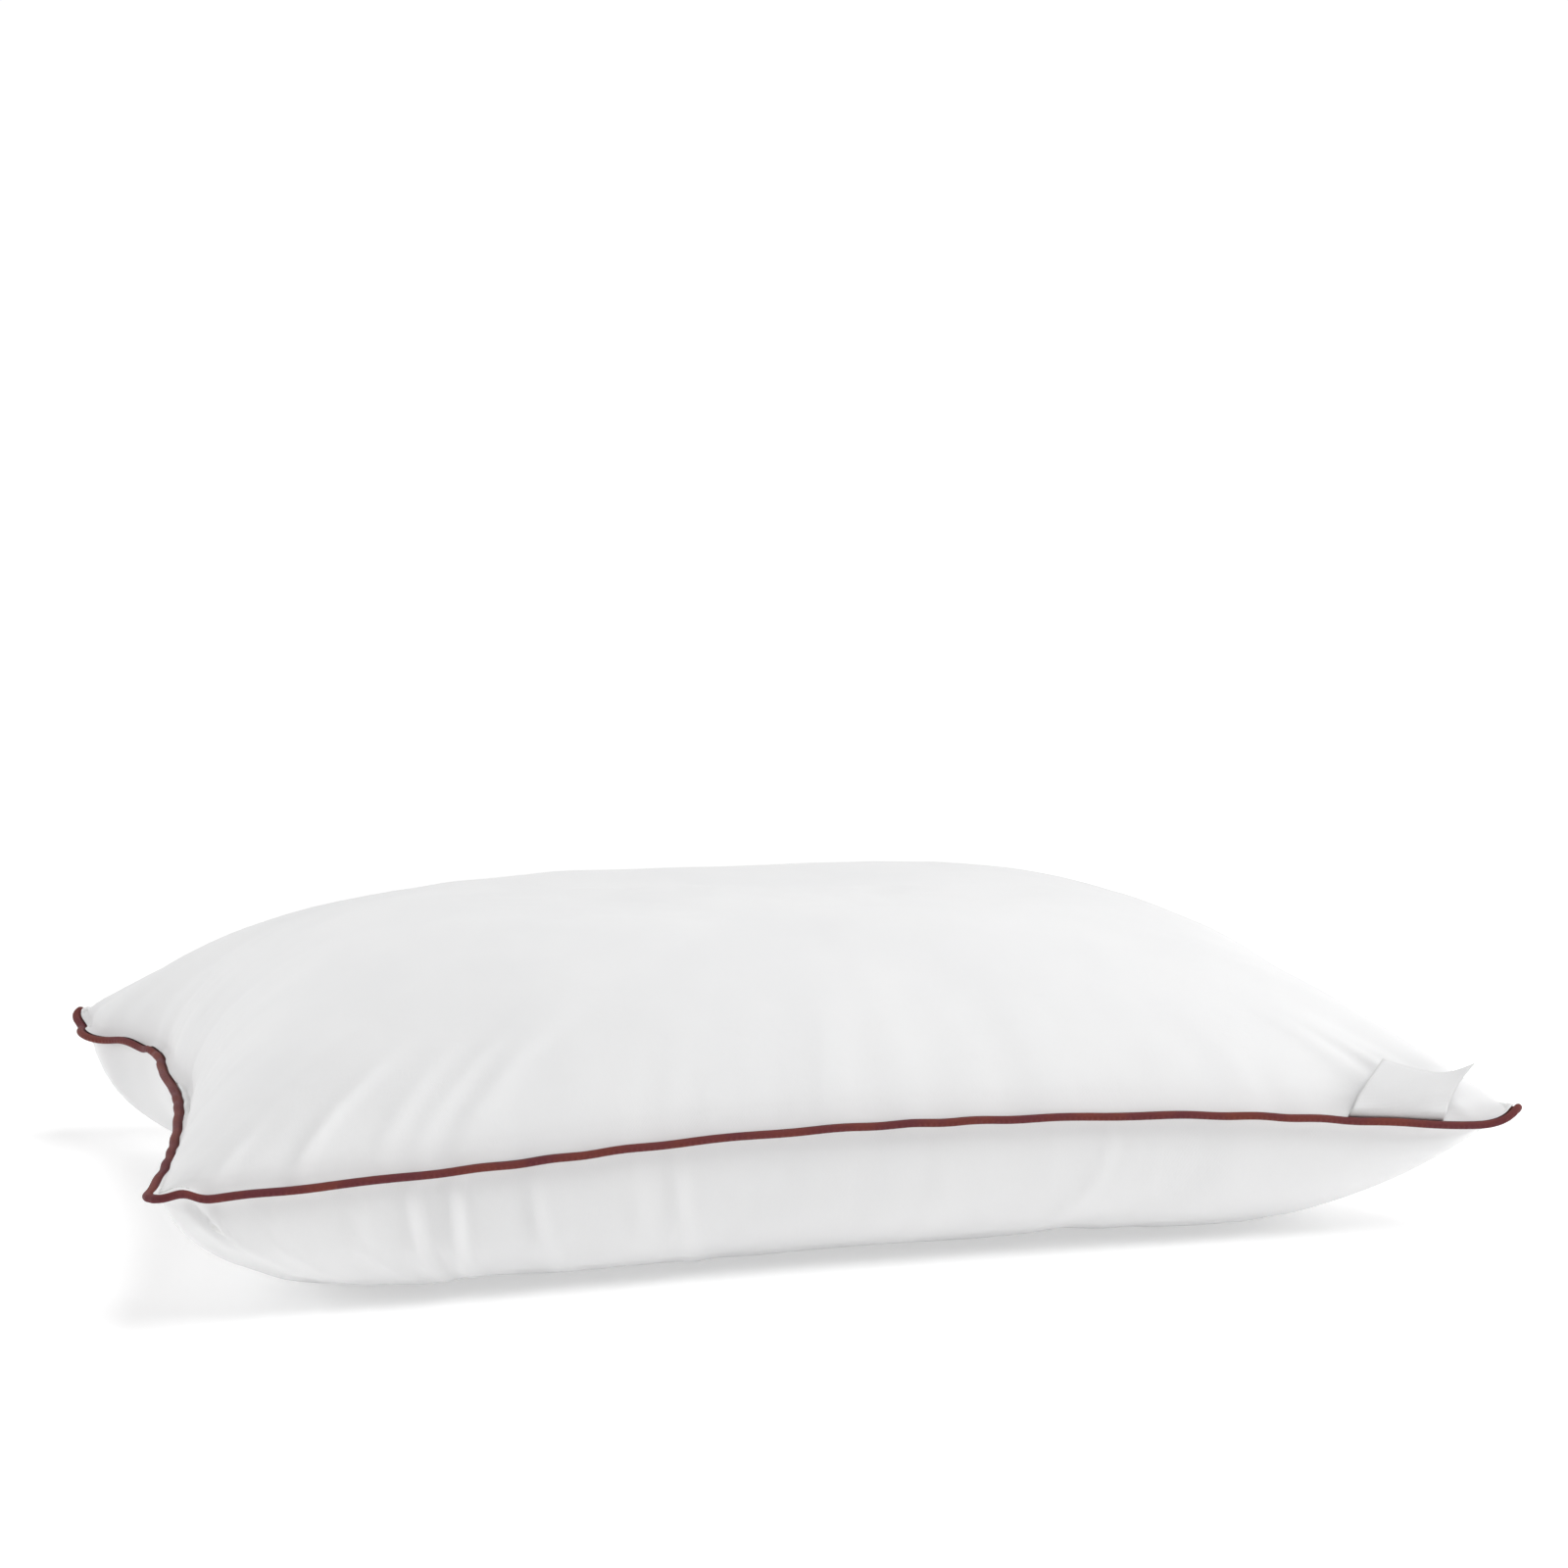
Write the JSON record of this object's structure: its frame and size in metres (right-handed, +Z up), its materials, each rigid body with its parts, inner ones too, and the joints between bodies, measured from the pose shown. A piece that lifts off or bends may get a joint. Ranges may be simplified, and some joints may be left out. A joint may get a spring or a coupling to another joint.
{
  "type": "bed pillow",
  "caption": "Plump rectangular bed pillow in smooth white fabric with dark red corded piping in the seam, drawn-in sides, pointed corners and a sewn-in fabric label that flaps.",
  "frame": {"origin": "on the floor, under the middle of the pillow's box", "axes": "+X along the long side, +Y from the long side with the label towards the other long side, +Z up from the floor to the crown"},
  "size_m": [0.7348, 0.485, 0.172],
  "materials": {
    "shell_fabric": "smooth satin-weave white microfibre",
    "piping_tape": "dark red woven bias tape",
    "piping_filler": "twisted cotton cord",
    "sewing_thread": "white polyester thread",
    "piping_sewing_thread": "dark red polyester thread",
    "fibre": "lofty white polyester fibre",
    "label_fabric": "plain white non-woven label fabric"
  },
  "bodies": {
    "pillow": {"top_panel": "shell_fabric", "bottom_panel": "shell_fabric", "fibre_fill": "fibre", "piping_cover": "piping_tape", "piping_cord": "piping_filler", "piping_thread": "piping_sewing_thread", "seam_needle_thread": "sewing_thread", "seam_bobbin_thread": "sewing_thread", "overlock_thread": "sewing_thread", "closing_thread": "sewing_thread", "law_label_hem": "label_fabric"},
    "label": {"law_label": "label_fabric"}
  },
  "joints": [
    {"name": "label_flap", "type": "hinge", "parent": "pillow", "child": "label", "pos_m": [0.27347, -0.23187, 0.07612], "axis": [0.9953, -0.0708, -0.0668], "range_deg": [0, 100]}
  ]
}
